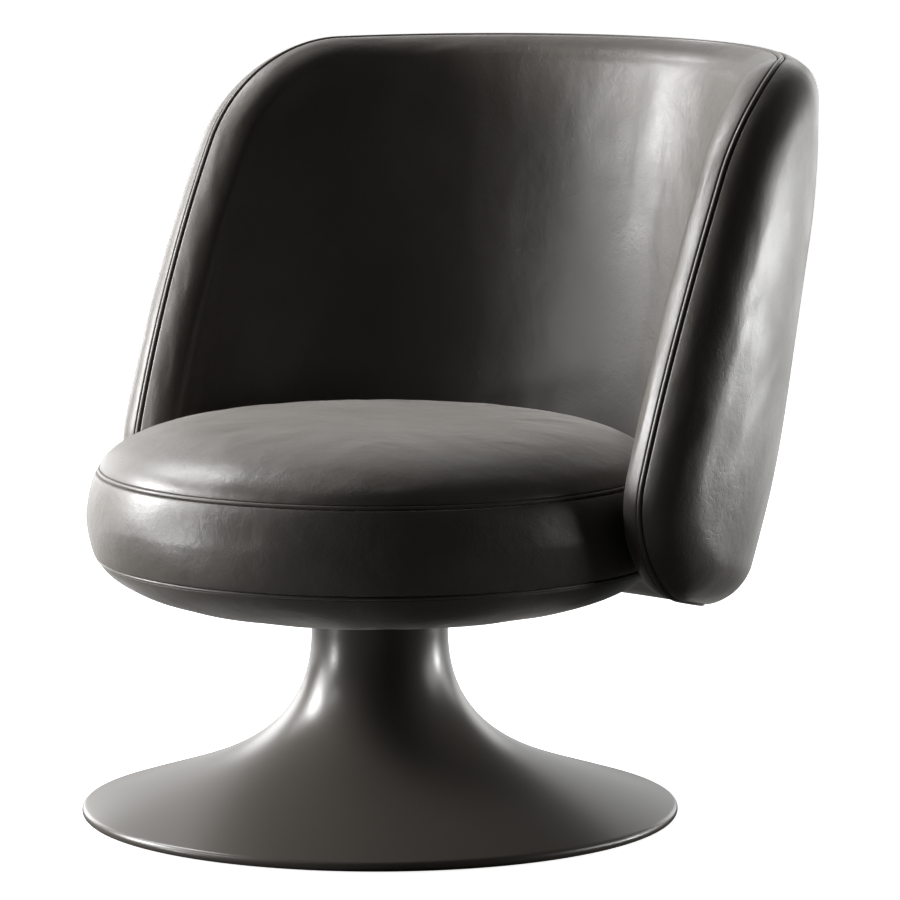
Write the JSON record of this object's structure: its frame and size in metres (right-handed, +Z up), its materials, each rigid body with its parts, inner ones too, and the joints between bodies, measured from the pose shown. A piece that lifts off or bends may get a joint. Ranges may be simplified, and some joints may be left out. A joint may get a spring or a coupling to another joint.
{
  "type": "pedestal swivel armchair",
  "caption": "Low lounge armchair: round padded leather seat inside a thick wrap-round back, turning on a wide trumpet-shaped metal foot.",
  "frame": {"origin": "on the floor, on the swivel axis, at the middle of the felt pad under the foot", "axes": "+Z up along the swivel axis, the sitter faces -Y, the back is towards +Y"},
  "size_m": [0.8086, 0.8233, 0.8116],
  "materials": {
    "leather": "fine grain, soft gloss",
    "paint": "satin",
    "felt": "pressed felt",
    "iron": "rough cast",
    "steel": "bright zinc",
    "aluminium": "turned",
    "brass": "turned",
    "nylon": "matte",
    "black_rubber": "matte",
    "plywood": "raw birch",
    "webbing": "woven",
    "foam": "open cell foam",
    "pan": "moulded"
  },
  "bodies": {
    "foot": {"foot_shell": "paint", "foot_pad": "felt", "foot_weight": "iron", "column_flange": "steel", "flange_bolts": "steel", "column_tube": "steel", "neck_ring": "aluminium", "lower_bush": "nylon", "upper_bush": "nylon", "lower_race": "steel"},
    "ball_cage": {"bearing_cage": "brass", "bearing_balls": "steel"},
    "seat": {"upper_race": "steel", "spindle": "steel", "spindle_washer": "steel", "spindle_circlip": "steel", "mounting_plate": "steel", "seat_bolts": "steel", "seat_tee_nuts": "steel", "seat_board": "plywood", "seat_ring": "plywood", "seat_webbing": "webbing", "seat_foam": "foam", "band_foam": "foam", "seat_top_cover": "leather", "upper_welt": "leather", "side_band": "leather", "lower_welt": "leather", "under_cover": "leather", "under_pan": "pan", "neck_seal": "black_rubber", "back_frame": "plywood", "back_inner_foam": "foam", "back_outer_foam": "foam", "back_inner_cover": "leather", "back_outer_cover": "leather", "back_welt": "leather", "back_bolts": "steel", "back_spacers": "black_rubber", "back_inserts": "brass"}
  },
  "joints": [
    {"name": "seat_swivel", "type": "hinge", "parent": "foot", "child": "seat", "pos_m": [0, 0, 0.2], "axis": [0, 0, 1], "continuous": true},
    {"name": "cage_turn", "type": "hinge", "parent": "foot", "child": "ball_cage", "pos_m": [0, 0, 0.2], "axis": [0, 0, 1], "continuous": true}
  ],
  "couplings": [
    {"joint": "cage_turn", "follows": "seat_swivel", "ratio": 0.5}
  ]
}
